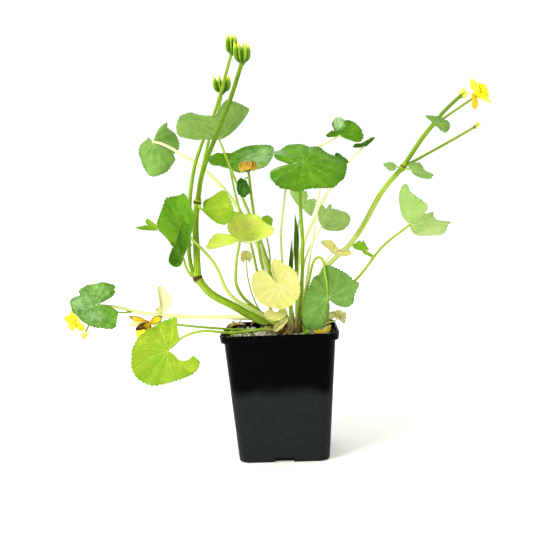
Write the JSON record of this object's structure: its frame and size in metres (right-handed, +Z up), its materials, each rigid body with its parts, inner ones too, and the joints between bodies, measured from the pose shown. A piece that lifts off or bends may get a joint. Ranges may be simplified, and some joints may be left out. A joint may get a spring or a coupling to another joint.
{
  "type": "potted marsh marigold",
  "caption": "Marsh marigold with kidney-shaped leaves, yellow flowers and seed heads, growing in a square black nursery pot.",
  "frame": {"origin": "middle of the pot's foot, on the surface that it stands on", "axes": "+Z up, X and Y square to the pot's sides, and the front, where the lime and cream leaves hang, at -Y"},
  "size_m": [0.3538, 0.1481, 0.3297],
  "materials": {
    "pot_plastic": "satin",
    "compost": "matte",
    "crown": "matte",
    "stem": "satin",
    "green_leaf": "satin",
    "lime_leaf": "satin",
    "pale_leaf": "satin",
    "seed_pod": "satin",
    "petal": "satin",
    "withered": "matte"
  },
  "bodies": {
    "root": {"pot": "pot_plastic", "compost": "compost", "crown": "crown", "flower_stem_left_lower": "stem", "flower_stem_left_middle": "stem", "flower_stem_left_tall": "stem", "flower_stem_left_front": "stem", "flower_stem_left_back": "stem", "flower_stem_right_lower": "stem", "flower_stem_right_upper": "stem", "flower_stem_right_tip": "stem", "flower_stem_right_flower": "stem", "flower_stem_right_side": "stem", "trailing_stem": "stem", "withered_flower_stalk": "stem", "spent_flower_stalk": "stem", "spear_tall": "stem", "spear_short": "stem", "seed_head_tall": "seed_pod", "seed_head_front": "seed_pod", "seed_head_back": "seed_pod", "young_head_tip": "seed_pod", "young_head_side": "seed_pod", "flower_right": "petal", "withered_flower": "petal", "spent_flower": "petal", "flower_trailing": "petal", "flower_nodding": "petal", "fallen_petal": "petal", "leaf_centre": "green_leaf", "leaf_top_left": "green_leaf", "leaf_back": "green_leaf", "leaf_upper_left": "green_leaf", "leaf_right_back": "green_leaf", "leaf_right_dark": "green_leaf", "leaf_behind_centre": "green_leaf", "leaf_right_low": "green_leaf", "leaf_middle_grey": "green_leaf", "leaf_right": "green_leaf", "leaf_front_right": "green_leaf", "leaf_cream_round": "pale_leaf", "leaf_cream_small": "pale_leaf", "leaf_cream_sheath": "pale_leaf", "leaf_lime": "lime_leaf", "leaf_lime_back": "green_leaf", "leaf_stem_right": "lime_leaf", "leaf_left": "green_leaf", "leaf_left_folded": "green_leaf", "leaf_left_ragged": "green_leaf", "leaf_far_left": "green_leaf", "leaf_trailing_pale": "pale_leaf", "leaf_low_left": "lime_leaf", "leaf_cream_curled": "pale_leaf", "leaf_small_ragged": "green_leaf", "leaf_cream_thin": "pale_leaf", "leaf_withered": "withered", "bract_right_fork": "green_leaf", "bract_right_small": "green_leaf", "bract_right_top": "green_leaf", "bract_spent": "green_leaf"}
  },
  "joints": []
}
